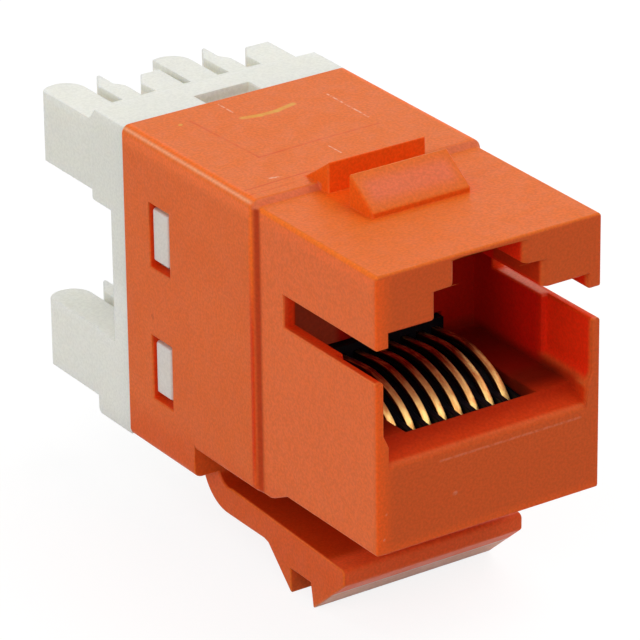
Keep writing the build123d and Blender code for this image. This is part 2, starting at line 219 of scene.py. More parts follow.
    def finish(self, shader: bpy.types.NodeSocket) -> bpy.types.Material:
        """Link the shader to the output and return the material."""
        self.put(self.output.inputs["Surface"], shader)
        return self.material


class GeometryGraph:
    """Builds one Geometry Nodes tree and runs it on an object."""

    def __init__(self, name: str) -> None:
        """Make an empty tree with a geometry input and output."""
        self.tree = bpy.data.node_groups.new(name, "GeometryNodeTree")
        for way in ("INPUT", "OUTPUT"):
            self.tree.interface.new_socket(
                "Geometry", in_out=way, socket_type="NodeSocketGeometry")
        self.source = self.tree.nodes.new("NodeGroupInput")
        self.result = self.tree.nodes.new("NodeGroupOutput")
        self.values: dict[str, object] = {}

    def number(self, name: str, value: float) -> bpy.types.NodeSocket:
        """Add a named input with its value and return its socket inside the tree."""
        kind = "NodeSocketInt" if isinstance(value, int) else "NodeSocketFloat"
        item = self.tree.interface.new_socket(name, in_out="INPUT", socket_type=kind)
        self.values[item.identifier] = value
        return self.source.outputs[name]

    def add(self, kind: str, settings: dict[str, object] | None = None,
            inputs: dict[object, object] | None = None) -> bpy.types.Node:
        """Add a node with its settings and inputs, and return it."""
        node = self.tree.nodes.new(kind)
        for key, value in (settings or {}).items():
            setattr(node, key, value)
        for key, value in (inputs or {}).items():
            if isinstance(value, bpy.types.NodeSocket):
                self.tree.links.new(value, node.inputs[key])
            else:
                node.inputs[key].default_value = value
        return node

    def vector(self, x: object = 0.0, y: object = 0.0, z: object = 0.0) -> bpy.types.NodeSocket:
        """Combine three numbers or sockets into a vector."""
        return self.add("ShaderNodeCombineXYZ", inputs={"X": x, "Y": y, "Z": z}).outputs[0]

    def math(self, operation: str, a: object, b: object = 0.0) -> bpy.types.NodeSocket:
        """Add a math node and return its result."""
        return self.add("ShaderNodeMath", {"operation": operation}, {0: a, 1: b}).outputs[0]

    def run(self, name: str, source: bpy.types.ID, geometry: bpy.types.NodeSocket,
            material: bpy.types.Material) -> bpy.types.Object:
        """Realize the geometry, set its material and turn it into a plain mesh object.

        Args:
            name: the new object's name.
            source: mesh or curve data that feeds the tree.
            geometry: the tree's last geometry socket.
            material: the finish of the result.

        Returns:
            The mesh object, with no modifier left.
        """
        whole = self.add("GeometryNodeRealizeInstances", inputs={"Geometry": geometry})
        dressed = self.add(
            "GeometryNodeSetMaterial",
            inputs={"Geometry": whole.outputs[0], "Material": material})
        self.tree.links.new(dressed.outputs[0], self.result.inputs[0])
        maker = bpy.data.objects.new(f"{name}_maker", source)
        bpy.context.scene.collection.objects.link(maker)
        modifier = maker.modifiers.new("build", "NODES")
        modifier.node_group = self.tree
        for identifier, value in self.values.items():
            modifier[identifier] = value
        depsgraph = bpy.context.evaluated_depsgraph_get()
        mesh = bpy.data.meshes.new_from_object(maker.evaluated_get(depsgraph))
        maker.modifiers.remove(modifier)
        bpy.data.objects.remove(maker)
        mesh.name = name
        return show(name, mesh)


# Mesh helpers

def show(name: str, mesh: bpy.types.Mesh) -> bpy.types.Object:
    """Link a mesh to the scene as an object at the origin and return it."""
    piece = bpy.data.objects.new(name, mesh)
    bpy.context.scene.collection.objects.link(piece)
    return piece


def fit(piece: bpy.types.Object, nodes: list[str] | None = None) -> bpy.types.Object:
    """Tie a finished piece to the frame.

    Args:
        piece: the finished piece.
        nodes: names of the CAD nodes that it stands for.

    Returns:
        The piece.
    """
    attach(piece, BODY)
    if nodes:
        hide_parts(*nodes)
    LOG.info("%s: %d faces", piece.name, len(piece.data.polygons))
    return piece


def dress(node: str, material: bpy.types.Material) -> None:
    """Give a CAD node that keeps its shape a new finish."""
    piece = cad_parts[node]
    if piece.material_slots:
        for entry in piece.material_slots:
            entry.material = material
    else:
        piece.data.materials.append(material)
    LOG.info("%s: dressed", node)


def smooth_line(knots: list[tuple[float, float]], start: tuple[float, float],
                end: tuple[float, float], steps: int) -> list[tuple[float, float]]:
    """Draw a cubic spline through points with given end directions.

    Args:
        knots: the points that the line goes through.
        start: direction at the first point.
        end: direction at the last point.
        steps: steps between two points.

    Returns:
        Points along the line.
    """
    spots = np.array(knots, float)
    gaps = np.linalg.norm(np.diff(spots, axis=0), axis=1)
    count = len(spots)
    matrix = np.eye(count)
    slopes = np.zeros((count, 2))
    slopes[0] = np.array(start) / np.linalg.norm(start)
    slopes[-1] = np.array(end) / np.linalg.norm(end)
    for i in range(1, count - 1):
        before, after = gaps[i - 1], gaps[i]
        matrix[i, i - 1:i + 2] = (after, 2 * (before + after), before)
        slopes[i] = 3 * (
            after * (spots[i] - spots[i - 1]) / before + before * (spots[i + 1] - spots[i]) / after)
    slopes = np.linalg.solve(matrix, slopes)
    line = [tuple(spots[0])]
    for i in range(count - 1):
        for step in range(1, steps + 1):
            t = step / steps
            a = (1 + 2 * t) * (1 - t) ** 2 * spots[i] + t * t * (3 - 2 * t) * spots[i + 1]
            b = t * (1 - t) ** 2 * slopes[i] - t * t * (1 - t) * slopes[i + 1]
            line.append(tuple(a + gaps[i] * b))
    return line


def eased(node: str, name: str, radius: float, material: bpy.types.Material,
          angle: float = 24.0, inner: float = 0.4) -> bpy.types.Object:
    """Copy a CAD node's mesh and ease its sharp edges, as a mould does.

    Args:
        node: the CAD node to copy.
        name: the new piece's name.
        radius: radius of the eased edges in millimetres.
        material: the finish of the piece.
        angle: edges that turn by more than this many degrees are eased.
        inner: radius of the hollow edges as a share of the outer ones.

    Returns:
        The new object with its edges eased.
    """
    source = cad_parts[node].data
    mesh = bmesh.new()
    mesh.from_mesh(source)
    bmesh.ops.remove_doubles(mesh, verts=mesh.verts, dist=WELD)
    bmesh.ops.dissolve_degenerate(mesh, edges=mesh.edges, dist=WELD / 2)
    bmesh.ops.dissolve_limit(
        mesh, angle_limit=FLAT_ANGLE, verts=mesh.verts, edges=mesh.edges, delimit={"NORMAL"})
    weight = mesh.edges.layers.float.new("bevel_weight_edge")
    for edge in mesh.edges:
        turn = edge.calc_face_angle_signed(0.0)
        if abs(turn) > math.radians(angle):
            edge[weight] = 1.0 if turn > 0 else inner
    clean = bpy.data.meshes.new(name)
    mesh.to_mesh(clean)
    mesh.free()
    clean.shade_smooth()
    clean.set_sharp_from_angle(angle=SHARP_ANGLE)
    clean.materials.clear()
    clean.materials.append(material)
    clean.materials.append(material)    # the second slot marks the eased faces
    piece = show(name, clean)
    bevel = piece.modifiers.new("eased edges", "BEVEL")
    bevel.material = 1
    bevel.width = radius * MM
    bevel.segments = 2
    bevel.limit_method = "WEIGHT"
    bevel.use_clamp_overlap = False
    bevel.miter_outer = "MITER_SHARP"
    flat = piece.modifiers.new("level faces", "WEIGHTED_NORMAL")
    flat.weight = 100
    flat.keep_sharp = True
    depsgraph = bpy.context.evaluated_depsgraph_get()
    made = bpy.data.meshes.new_from_object(
        piece.evaluated_get(depsgraph), preserve_all_data_layers=True, depsgraph=depsgraph)
    piece.modifiers.clear()
    low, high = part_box(node)
    for vertex in made.vertices:
        for axis in range(3):
            vertex.co[axis] = min(max(vertex.co[axis], low[axis]), high[axis])
    mark_rims(made)
    piece.data = made
    made.name = name
    return piece


def mark_rims(mesh: bpy.types.Mesh) -> None:
    """Write a point attribute, rim, that is 1 along the middle of each outer eased edge.

    Args:
        mesh: a mesh whose eased faces hold the second material slot.
    """
    faces = mesh.polygons
    beside: dict[tuple[int, int], list[int]] = {}
    for face in faces:
        for key in face.edge_keys:
            beside.setdefault(key, []).append(face.index)
    rim = np.ones(len(mesh.vertices), np.float32)
    for face in faces:
        outward = 0.0
        for key in face.edge_keys:
            for other in beside[key]:
                outward += face.normal.dot(face.center - faces[other].center)
        if face.material_index != 1 or outward <= 0:
            rim[list(face.vertices)] = 0.0
    layer = mesh.attributes.new("rim", "FLOAT", "POINT")
    layer.data.foreach_set("value", rim)
    mesh.polygons.foreach_set("material_index", np.zeros(len(faces), np.int32))
    mesh.materials.pop()


# Finishes

class Side(Enum):
    """A face of the housing that carries marks, with the levels between which they fade."""

    TOP = (16.3, 16.42)
    FRONT = (0.1, 0.3)
    LEFT = (-7.4, -7.3)


@dataclass(frozen=True)
class Mark:
    """A short line or speck on a face, in millimetres along that face's two axes."""

    side: Side
    start: tuple[float, float]
    end: tuple[float, float]
    width: float
    colour: Colour
    strength: float = 0.6
    gaps: float = 0.6               # how much the line breaks up


@dataclass(frozen=True)
class Zone:
    """A soft-edged box of painted light and shade: painted glow between walls, painted shade in
    hollows, painted highlights, sheen and reflections.
    """

    low: Place
    high: Place
    colour: Colour
    strength: float
    soft: Place = (0.06, 0.06, 0.06)
    mirrored: bool = True           # the box stands on both sides of X = 0
    dull: float = 0.0               # added roughness

    def mask(self, graph: ShaderGraph, folded: bpy.types.NodeSocket) -> bpy.types.NodeSocket:
        """Build the mask of the zone.

        Args:
            graph: the material's graph.
            folded: the place with both sides of X = 0 laid on each other.

        Returns:
            A socket that is 1 inside the zone and 0 outside.
        """
        where = folded if self.mirrored else graph.place
        low, high, soft = (Vector(corner) * MM for corner in (self.low, self.high, self.soft))
        rise = graph.ramp_each(where, low - soft, low + soft, 0.0, 1.0)
        fall = graph.ramp_each(where, high - soft, high + soft, 1.0, 0.0)
        both = graph.vector("MULTIPLY", rise, fall).outputs[0]
        x, y, z = graph.add("ShaderNodeSeparateXYZ", inputs={0: both}).outputs
        mask = graph.math("MULTIPLY", graph.math("MULTIPLY", x, y), z)
        return graph.math("MULTIPLY", mask, self.strength)


@dataclass(frozen=True)
class Moulding:
    """A moulded plastic: colour, fine satin grain, soft mottling, marks, a painted highlight along
    the outer eased edges and boxes of painted light and shade.
    """

    name: str
    colour: Colour
    shade: Colour
    roughness: float = 0.42
    specular: float = 0.45
    cloud_mm: float = 5.0           # soft mottling of the colour
    sheen_mm: float = 0.8           # soft mottling of the gloss
    rim_highlight_run_mm: float = 1.2            # runs of brighter and duller painted highlight on the rim
    fleck_mm: float = 0.16
    gap_mm: float = 0.32            # breaks in the marks
    wave_mm: float = 2.4
    grain_mm: float = 0.1
    grain_depth_mm: float = 0.008
    glow: float = 0.0
    glow_reach: Colour = (1.0, 0.35, 0.1)
    glow_scale_mm: float = 0.8
    # rim and rim_strength: a painted highlight along the outer eased edges
    rim: Colour = (1.0, 1.0, 1.0)
    rim_strength: float = 0.6
    fleck: float = 0.1              # how much the fine speckle lightens and darkens
    zones: tuple[Zone, ...] = ()
    marks: tuple[Mark, ...] = ()

    def mark_mask(self, graph: ShaderGraph, mark: Mark) -> bpy.types.NodeSocket:
        """Build the mask of one mark.

        Args:
            graph: the material's graph.
            mark: the mark.

        Returns:
            A socket that is 1 on the mark and 0 elsewhere.
        """
        x, y, z = graph.add("ShaderNodeSeparateXYZ", inputs={0: graph.place}).outputs
        across, along, outward = {
            Side.TOP: (x, y, z), Side.FRONT: (x, z, y), Side.LEFT: (y, z, x)}[mark.side]
        least, most = mark.side.value
        limit = graph.ramp(outward, least * MM, most * MM)
        if mark.side is not Side.TOP:
            limit = graph.math("SUBTRACT", 1.0, limit)
        point = graph.add("ShaderNodeCombineXYZ", inputs={"X": across, "Y": along}).outputs[0]
        start = Vector((mark.start[0], mark.start[1], 0)) * MM
        run = Vector((mark.end[0], mark.end[1], 0)) * MM - start
        offset = graph.vector("SUBTRACT", point, tuple(start)).outputs[0]
        share = graph.vector("DOT_PRODUCT", offset, tuple(run)).outputs["Value"]
        share = graph.math("DIVIDE", share, max(run.length_squared, 1e-12), clamp=True)
        nearest = graph.vector("SCALE", tuple(run), scale=share).outputs[0]
        distance = graph.vector("DISTANCE", offset, nearest).outputs["Value"]
        half = mark.width * MM / 2
        inside = graph.math("SUBTRACT", 1.0, graph.ramp(distance, half * 0.4, half * 1.3))
        uneven = graph.ramp(graph.noise(self.gap_mm, 2.0), 0.4, 0.56, 1.0 - mark.gaps, 1.0)
        mask = graph.math("MULTIPLY", graph.math("MULTIPLY", inside, limit), uneven)
        return graph.math("MULTIPLY", mask, mark.strength)

    def material(self) -> bpy.types.Material:
        """Build the material.

        Returns:
            The finished material.
        """
        graph = ShaderGraph(self.name)
        cloud = graph.ramp(graph.noise(self.cloud_mm, 3.0), 0.3, 0.7)
        colour = graph.mix(cloud, self.colour, self.shade)
        rough = graph.ramp(
            graph.noise(self.sheen_mm, 3.0), 0.3, 0.7, self.roughness - 0.05,
            self.roughness + 0.06)
        # Painted highlight along the outer eased edges, in runs of brighter and duller
        rim = graph.add("ShaderNodeAttribute", {"attribute_name": "rim"}).outputs["Fac"]
        rim_highlight_runs = graph.ramp(graph.noise(self.rim_highlight_run_mm, 3.0), 0.3, 0.6, 0.6, 1.0)
        rim = graph.math("MULTIPLY", rim, rim_highlight_runs)
        colour = graph.mix(graph.math("MULTIPLY", rim, self.rim_strength), colour, self.rim)
        rough = graph.math("MULTIPLY_ADD", rim, -0.1, rough)
        # Painted light and shade in soft boxes
        folded = graph.folded()
        for zone in self.zones:
            mask = zone.mask(graph, folded)
            colour = graph.mix(mask, colour, zone.colour)
            if zone.dull:
                rough = graph.math("MULTIPLY_ADD", mask, zone.dull, rough)
        speckle = graph.ramp(
            graph.noise(self.fleck_mm, 2.0), 0.28, 0.72, 1.0 - self.fleck,
            1.0 + self.fleck * 0.8)
        colour = graph.vector("SCALE", colour, scale=speckle).outputs[0]
        for mark in self.marks:
            colour = graph.mix(self.mark_mask(graph, mark), colour, mark.colour)
        normal = graph.bump(graph.noise(self.wave_mm, 2.0), self.grain_depth_mm * 2)
        normal = graph.bump(graph.noise(self.grain_mm, 2.0), self.grain_depth_mm, normal)
        shader = graph.add(
            "ShaderNodeBsdfPrincipled",
            inputs={"Base Color": colour, "Roughness": rough, "Normal": normal,
                    "Specular IOR Level": self.specular})
        if self.glow:
            graph.put(shader.inputs["Subsurface Weight"], self.glow)
            graph.put(shader.inputs["Subsurface Radius"], self.glow_reach)
            graph.put(shader.inputs["Subsurface Scale"], self.glow_scale_mm * MM)
        return graph.finish(shader.outputs[0])


@dataclass(frozen=True)
class Plating:
    """A plated metal strip: drawn lines along Y, tarnish, a darker streaked colour behind the matt
    end and a matt front.
    """

    name: str
    colour: Colour
    tarnish: Colour
    roughness: float = 0.24
    line_mm: float = 0.05           # drawn lines
    cloud_mm: float = 0.4           # tarnish
    streak_mm: float = 0.12         # streaks behind the matt end
    relief_mm: float = 0.002
    matt_until: float = 0.0         # the strip is duller in front of this Y
    matt_roughness: float = 0.45
    cut_edge: Colour | None = None  # bare metal on the sides that face along X
    behind: Colour | None = None    # the darker colour, in streaks, behind the matt end

    def material(self) -> bpy.types.Material:
        """Build the material.

        Returns:
            The finished material.
        """
        graph = ShaderGraph(self.name)
        lines = graph.noise(self.line_mm, 2.0, stretch=(1, 30, 30))
        cloud = graph.ramp(graph.noise(self.cloud_mm, 3.0, stretch=(1, 2, 2)), 0.4, 0.62, 0.0, 0.8)
        colour = graph.mix(cloud, self.colour, self.tarnish)
        rough = graph.ramp(lines, 0.3, 0.7, self.roughness - 0.06, self.roughness + 0.08)
        y = graph.add("ShaderNodeSeparateXYZ", inputs={0: graph.place}).outputs["Y"]
        end = self.matt_until * MM
        if self.behind:
            rearward_share = graph.ramp(y, end - 0.6 * MM, end + 1.2 * MM)
            streaks = graph.noise(self.streak_mm, 2.0, stretch=(1, 6, 6))
            streaks = graph.ramp(streaks, 0.4, 0.6, 0.45, 1.0)
            colour = graph.mix(graph.math("MULTIPLY", rearward_share, streaks), colour, self.behind)
        if self.cut_edge:
            normal = graph.place.node.outputs["Normal"]
            sideways = graph.add("ShaderNodeSeparateXYZ", inputs={0: normal}).outputs["X"]
            side = graph.ramp(graph.math("ABSOLUTE", sideways), 0.45, 0.85)
            colour = graph.mix(side, colour, self.cut_edge)
        if self.matt_until:
            matt = graph.ramp(y, end - 0.6 * MM, end + 0.6 * MM, 1.0, 0.0)
            more = self.matt_roughness - self.roughness
            rough = graph.math("MULTIPLY_ADD", matt, more, rough)
        shader = graph.add(
            "ShaderNodeBsdfPrincipled",
            inputs={"Base Color": colour, "Roughness": rough, "Metallic": 1.0,
                    "Normal": graph.bump(lines, self.relief_mm)})
        return graph.finish(shader.outputs[0])


@dataclass(frozen=True)
class Laminate:
    """A circuit board: glossy solder resist over a woven laminate."""

    name: str
    resist: Colour
    weave: Colour
    thread_mm: float = 0.25
    relief_mm: float = 0.006
    roughness: float = 0.3

    def material(self) -> bpy.types.Material:
        """Build the material.

        Returns:
            The finished material.
        """
        graph = ShaderGraph(self.name)
        weave = graph.noise(self.thread_mm, 1.0, stretch=(3, 1, 1))
        cross = graph.noise(self.thread_mm, 1.0, stretch=(1, 1, 3))
        cloth = graph.ramp(graph.math("ADD", weave, cross), 0.8, 1.2, 0.0, 0.4)
        colour = graph.mix(cloth, self.resist, self.weave)
        shader = graph.add(
            "ShaderNodeBsdfPrincipled",
            inputs={"Base Color": colour, "Roughness": self.roughness,
                    "Normal": graph.bump(cloth, self.relief_mm)})
        return graph.finish(shader.outputs[0])


PALE_LINE = (0.9, 0.62, 0.45)
DEEP_LINE = (0.72, 0.07, 0.003)
# GOLDEN_GLINT is a painted highlight
GOLDEN_GLINT = (0.78, 0.37, 0.045)
SHADOW = (0.3, 0.03, 0.01)
# RED, DEEP_RED and DARK_RED are painted glow and shade inside the cavity
RED = (0.9, 0.022, 0.001)
DEEP_RED = (0.74, 0.009, 0.001)
DARK_RED = (0.34, 0.006, 0.001)

# Painted light and shade on the housing, in soft boxes
HOUSING_PAINTED_LIGHT = (
    # Top face: painted tint for how light falls on it, painted glow and shade around and between
    # the catches, painted sheen on the ramp, painted highlights along the outer edges and painted
    # shade across the shoulder
    Zone((-1, -1, 16.1), (8, 26, 18.2), (0.81, 0.16, 0.017), 0.9, (0.1, 0.1, 0.06)),
    Zone((-1, 6.0, 16.1), (4.0, 10.8, 16.4), (0.86, 0.13, 0.007), 0.55, (0.6, 0.5, 0.1)),
    Zone((-1, 8.2, 16.1), (3.4, 10.4, 16.4), (0.86, 0.09, 0.003), 0.7, (0.2, 0.2, 0.1)),
    Zone((-1, 6.6, 16.7), (2.75, 8.15, 17.75), (0.84, 0.19, 0.1), 0.65, (0.5, 0.5, 0.4)),
    Zone((3.08, 6.0, 16.2), (3.3, 12.7, 18.2), (0.88, 0.12, 0.005), 0.7, (0.05, 0.05, 0.1)),
    Zone((-1, 6.1, 16.2), (3.3, 6.28, 16.5), (0.8, 0.1, 0.005), 0.7, (0.05, 0.05, 0.05)),
    Zone((-1, 10.3, 16.3), (3.1, 10.42, 18.2), (0.95, 0.1, 0.004), 0.8),
    Zone((7.1, -1, 15.98), (7.4, 10.9, 16.3), (1.0, 0.2, 0.006), 0.8, (0.05, 0.1, 0.05)),
    Zone((6.95, 11.4, 16.38), (7.28, 25, 16.6), (1.0, 0.17, 0.01), 0.7, (0.12, 0.1, 0.05)),
    Zone((7.28, 11.4, 16.24), (7.46, 25, 16.42), (1.0, 0.42, 0.22), 0.85, (0.1, 0.1, 0.1)),
    Zone((-1, 11.02, 16.05), (7.6, 11.4, 16.6), (0.72, 0.17, 0.08), 0.65, (0.1, 0.08, 0.05)),
    # Sides: painted tint for how light falls on the front half, painted highlights along the upper
    # edges and the front corner, painted glow and shade on the shoulder
    Zone((7.1, 0.3, -1), (7.4, 10.7, 15.8), (0.84, 0.163, 0.04), 0.8, (0.05, 0.2, 0.2)),
    Zone((7.1, -1, 15.5), (7.3, 10.9, 16.0), (0.98, 0.18, 0.04), 0.75, (0.05, 0.1, 0.5)),
    Zone((7.4, 11.5, 15.6), (7.6, 25, 16.2), (1.0, 0.2, 0.045), 0.8, (0.06, 0.1, 0.5)),
    Zone((7.3, 11.3, 11), (7.6, 11.62, 16.1), (0.97, 0.14, 0.002), 0.75, (0.05, 0.08, 3.0)),
    Zone((7.3, 11.3, -1), (7.6, 11.6, 11), (0.72, 0.045, 0.001), 0.95, (0.05, 0.08, 3.0)),
    Zone((7.2, 10.86, -1), (7.6, 11.25, 16.1), (0.46, 0.03, 0.003), 0.8, (0.06, 0.12, 0.06)),
    Zone((7.13, -0.1, -0.9), (7.3, 0.12, 16.05), (1.0, 0.22, 0.02), 0.8, (0.04, 0.04, 0.05)),
    # Plug face, sill and cavity: painted shade on the plug face with painted light at its left end
    # and along its bottom, painted shade on the sill under the hood, painted glow and shade
    # deepening from the cavity's front to its depth, painted shade under the hood, a painted
    # lighter patch on the rear wall, painted glow on the right wall and a painted highlight on its
    # ledge
    Zone((-1, -1, -1), (8, 0.15, 16.05), (0.7, 0.103, 0.018), 0.95, (0.1, 0.12, 0.06)),
    Zone((-8, -1, -1), (-6.6, 0.15, 16), (0.98, 0.13, 0.012), 0.8, (0.65, 0.12, 0.1), False),
    Zone((-1, -1, -1), (7.2, 0.15, 0.4), (0.86, 0.125, 0.018), 0.75, (0.1, 0.12, 0.3)),
    Zone((-1, 0.25, 4.6), (6.6, 1.7, 6.1), (0.7, 0.04, 0.001), 0.9, (0.12, 0.2, 0.2), dull=0.2),
    Zone((-1, 0.35, 6.5), (6.97, 10.7, 15.95), RED, 0.95, (0.12, 0.2, 0.3), dull=0.25),
    Zone((-1, 0.9, 4.6), (6.6, 10.7, 6.5), (0.5, 0.026, 0.002), 0.95, (0.12, 0.6, 0.3), dull=0.2),
    Zone((-1, 4.3, 4.6), (6.6, 10.7, 15.95), DEEP_RED, 0.95, (0.1, 0.5, 0.25)),
    Zone((-1, 8.0, 4.6), (6.6, 10.7, 15.95), DARK_RED, 0.85, (0.1, 2.5, 0.25)),
    Zone((-1, 2.2, 4.6), (6.7, 10.7, 6.2), (0.13, 0.007, 0.001), 0.9, (0.3, 0.9, 0.5)),
    Zone((2.4, 0.35, 12.95), (6.9, 4.5, 15.95), (0.46, 0.035, 0.004), 0.75, (0.2, 0.15, 0.15)),
    Zone((-6.6, 9.9, 7.0), (-2.6, 10.7, 12.7), (0.6, 0.12, 0.045), 0.75, (0.3, 0.3, 0.4), False),
    Zone((6.4, 0.3, 9.9), (7.15, 8.85, 12.1), (0.76, 0.045, 0.002), 0.8),
    Zone((6.5, 4.3, 9.9), (7.0, 8.2, 10.12), (0.9, 0.42, 0.3), 0.55, (0.06, 0.3, 0.04), False),
    # Windows and latch arm: painted glow on the window walls, painted shade under the housing and
    # on the arm's shaded upper face, and on the arm's lip a painted reflection of the floor, a
    # painted glow and a painted highlight line
    Zone((6.5, 19.4, -1.0), (7.42, 21.9, 13.2), (0.9, 0.05, 0.002), 0.85),
    Zone((-1, -1, -6.0), (8, 30, -0.4), (0.72, 0.075, 0.005), 0.45, (0.1, 0.1, 1.2)),
    Zone((-1, 6.3, -3.5), (5.85, 19.5, -2.5), (0.52, 0.035, 0.002), 0.85, (0.08, 1.2, 0.15)),
    Zone((-1, 5.4, -7.5), (5.84, 8.4, -5.6), (1.0, 0.62, 0.46), 0.8, (0.1, 0.1, 0.25)),
    Zone((-1, 4.9, -5.4), (5.84, 6.6, -3.0), (0.98, 0.14, 0.035), 0.75, (0.1, 0.4, 0.1)),
    Zone((-1, 5.4, -5.57), (5.84, 8.4, -5.4), (1.0, 0.9, 0.8), 0.85, (0.1, 0.1, 0.06)),
)

HOUSING_MARKS = (
    Mark(Side.TOP, (-3.8, 16.1), (0.2, 16.28), 0.17, DEEP_LINE, 0.7, 0.4),
    Mark(Side.TOP, (0.2, 16.28), (4.2, 16.3), 0.15, DEEP_LINE, 0.6, 0.5),
    Mark(Side.TOP, (-3.8, 16.1), (-4.1, 22.6), 0.16, DEEP_LINE, 0.55, 0.6),
    Mark(Side.TOP, (4.25, 17.4), (4.25, 21.5), 0.13, PALE_LINE, 0.55, 0.9),
    Mark(Side.TOP, (-1.5, 22.2), (-1.5, 23.7), 0.12, PALE_LINE, 0.5, 0.9),
    # Painted glint: a gold-coloured arc of glancing highlight across the top, and a speck of the
    # same
    Mark(Side.TOP, (-1.49, 21.26), (-0.5, 21.03), 0.42, GOLDEN_GLINT, 0.85, 0.2),
    Mark(Side.TOP, (-0.5, 21.03), (0.6, 21.04), 0.4, GOLDEN_GLINT, 0.85, 0.2),
    Mark(Side.TOP, (0.6, 21.04), (1.9, 21.36), 0.4, GOLDEN_GLINT, 0.9, 0.2),
    Mark(Side.TOP, (-4.85, 22.39), (-4.8, 22.45), 0.26, GOLDEN_GLINT, 0.9, 0.0),
    Mark(Side.TOP, (0.16, 15.27), (0.19, 14.08), 0.1, PALE_LINE, 0.6, 0.7),
    Mark(Side.TOP, (-6.9, 12.75), (-2.6, 12.95), 0.13, DEEP_LINE, 0.8, 0.4),
    Mark(Side.TOP, (-7.1, 12.1), (-4.2, 12.15), 0.1, DEEP_LINE, 0.6, 0.6),
    Mark(Side.TOP, (-4.9, 13.4), (-4.3, 13.2), 0.18, PALE_LINE, 0.6, 0.9),
    Mark(Side.LEFT, (21.49, 5.92), (21.55, 5.98), 0.26, SHADOW, 0.6),
    # A pale line along the sill's nose: a parting line, lightened as a painted highlight
    Mark(Side.FRONT, (-3.2, 4.52), (6.0, 4.52), 0.16, PALE_LINE, 0.12),
    Mark(Side.FRONT, (-2.3, 2.35), (-2.2, 2.37), 0.26, PALE_LINE, 0.2),
    Mark(Side.FRONT, (-6.68, 2.37), (-6.66, 2.39), 0.14, PALE_LINE, 0.35),
    Mark(Side.FRONT, (-6.82, 0.91), (-6.8, 0.93), 0.14, PALE_LINE, 0.35),
)

ORANGE = Moulding(
    "orange_moulding", (0.81, 0.151, 0.029), (0.78, 0.14, 0.026), roughness=0.46,
    specular=0.1, glow=0.3, glow_reach=(1.0, 0.25, 0.08), rim=(1.0, 0.26, 0.035),
    rim_strength=0.85, fleck=0.09, zones=HOUSING_PAINTED_LIGHT, marks=HOUSING_MARKS)
OFF_WHITE = Moulding(
    "off_white_moulding", (0.83, 0.83, 0.75), (0.81, 0.81, 0.73), roughness=0.4,
    specular=0.3, glow=0.5, glow_reach=(1.0, 0.85, 0.65), glow_scale_mm=1.8,
    rim=(0.93, 0.93, 0.89), fleck=0.05, zones=(
        # Painted light on the lower block, painted shade of orange bounce on the tabs in the
        # windows, painted light in the pocket and on the inner sides of the slots
        Zone((-1, 18, -2), (8, 36, 6.5), (0.9, 0.9, 0.82), 0.8, (0.1, 0.1, 1.0)),
        Zone((6.5, 19.4, -1.0), (7.45, 21.9, 13.2), (0.74, 0.68, 0.61), 0.8),
        Zone((-1, 22, 12.9), (1.9, 26.9, 15.85), (1.0, 0.97, 0.89), 0.95, (0.04, 0.1, 0.1)),
        Zone((-1, 29.4, 9), (6.9, 36, 15.15), (1.0, 0.96, 0.86), 0.8, (0.1, 0.1, 0.1)),
    ))
BLACK = Moulding(
    "black_moulding", (0.004, 0.005, 0.008), (0.006, 0.006, 0.009), roughness=0.45,
    specular=0.1, rim=(0.014, 0.014, 0.016))
GOLD = Plating(
    "gold_plate", (0.95, 0.66, 0.24), (0.8, 0.36, 0.1), 0.36, matt_until=6.0,
    cut_edge=(0.12, 0.035, 0.012), behind=(0.32, 0.085, 0.03))
TIN = Plating("tin_plate", (0.72, 0.7, 0.66), (0.5, 0.48, 0.45), 0.34)
RESIST = Laminate("board_laminate", (0.02, 0.12, 0.05), (0.04, 0.2, 0.09))


# Sub-assemblies

@dataclass
class Housing:
    """The orange moulding with keyway, catches and latch arm."""

    edge_radius: float = 0.1
    finish: Moulding = ORANGE

    def build(self) -> None:
        """Build the eased moulding over the CAD node."""
        piece = eased("housing", "housing_moulding", self.edge_radius, self.finish.material())
        fit(piece, ["housing"])


@dataclass
class WireBlock:
    """The off-white block whose two wings take the wires."""

    edge_radius: float = 0.08
    finish: Moulding = OFF_WHITE

    def build(self) -> None:
        """Build the eased block."""
        piece = eased(
            "termination_block", "wire_block_moulding", self.edge_radius,
            self.finish.material())
        fit(piece, ["termination_block"])


